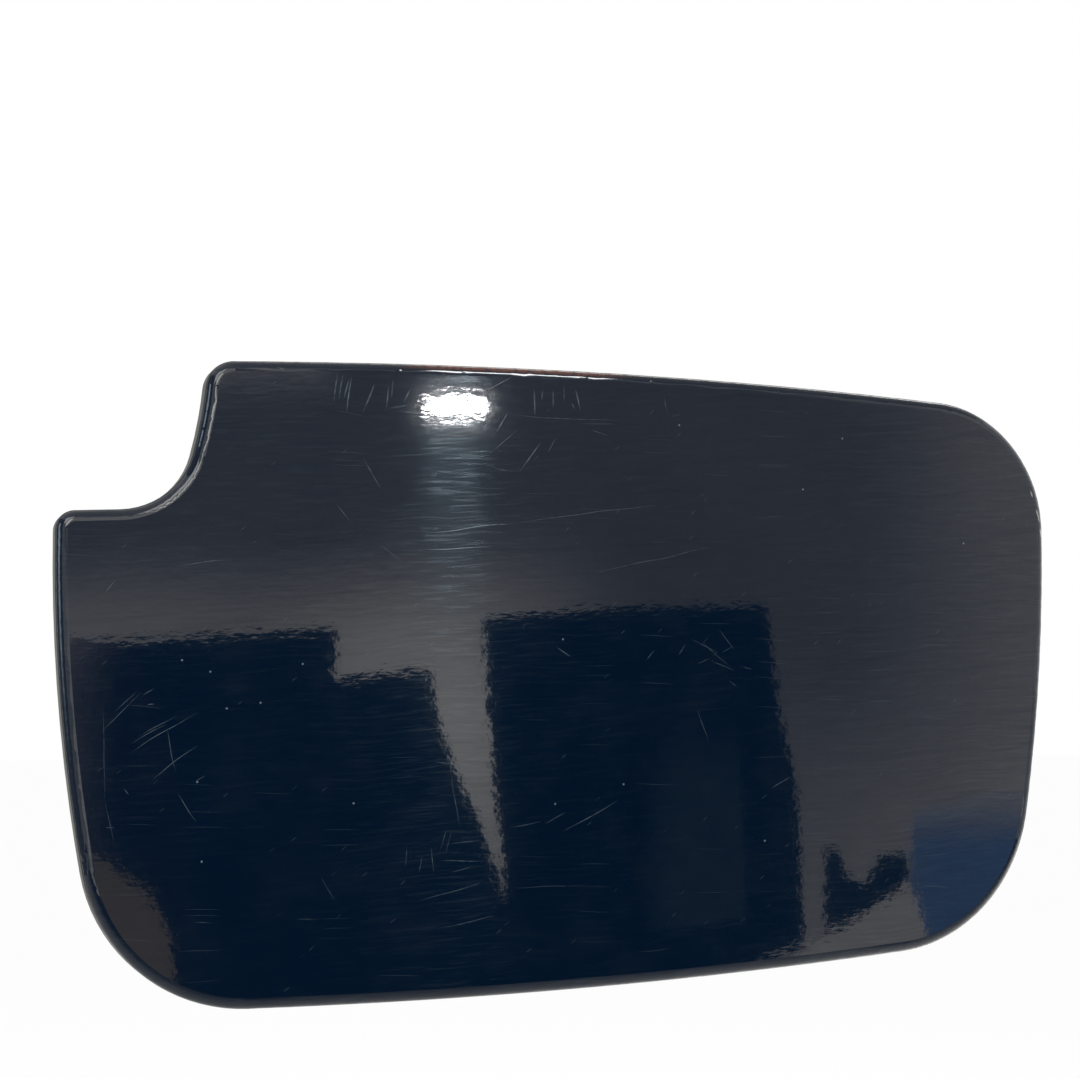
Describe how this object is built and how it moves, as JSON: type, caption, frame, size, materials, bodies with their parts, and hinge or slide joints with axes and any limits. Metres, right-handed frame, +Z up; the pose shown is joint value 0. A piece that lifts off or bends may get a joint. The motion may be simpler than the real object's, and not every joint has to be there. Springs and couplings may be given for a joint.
{
  "type": "car fuel door",
  "caption": "Sprung fuel filler flap with a crowned dark painted panel, notched corner, ribbed back, hinge arms on a pin and a bolt-on hinge bracket.",
  "frame": {"origin": "middle of the hinge bracket's two bolt holes, on the face that bolts to the car", "axes": "+X from the lock side to the hinge side, +Y into the car, +Z up along the hinge pin"},
  "size_m": [0.1983, 0.0275, 0.1175],
  "materials": {
    "navy_paint": "gloss paint under clear coat, scratched",
    "black_plastic": "fine moulded grain",
    "cast_alloy": "as cast",
    "zinc_steel": "zinc plated",
    "white_plastic": "satin",
    "buffer_rubber": "matt",
    "black_steel": "black dip coat",
    "bare_steel": "drawn"
  },
  "bodies": {
    "bracket": {"hinge_bracket": "black_steel", "hinge_pin": "bare_steel", "pin_clip": "bare_steel", "return_spring": "bare_steel"},
    "flap": {"outer_panel": "navy_paint", "inner_frame": "black_plastic", "upper_hinge_arm": "cast_alloy", "lower_hinge_arm": "cast_alloy", "arm_screws": "zinc_steel", "upper_bush": "white_plastic", "lower_bush": "white_plastic", "lock_striker": "zinc_steel", "striker_screws": "zinc_steel", "cap_cradle": "black_plastic", "cradle_screws": "zinc_steel", "upper_free_buffer": "buffer_rubber", "lower_free_buffer": "buffer_rubber", "upper_hinge_buffer": "buffer_rubber", "lower_hinge_buffer": "buffer_rubber"}
  },
  "joints": [
    {"name": "flap_swing", "type": "hinge", "parent": "bracket", "child": "flap", "pos_m": [0.032, -0.016, 0], "axis": [0, 0, 1], "range_deg": [0, 95], "stiffness_Nm_per_rad": 0.06, "springref_deg": -45.84}
  ]
}
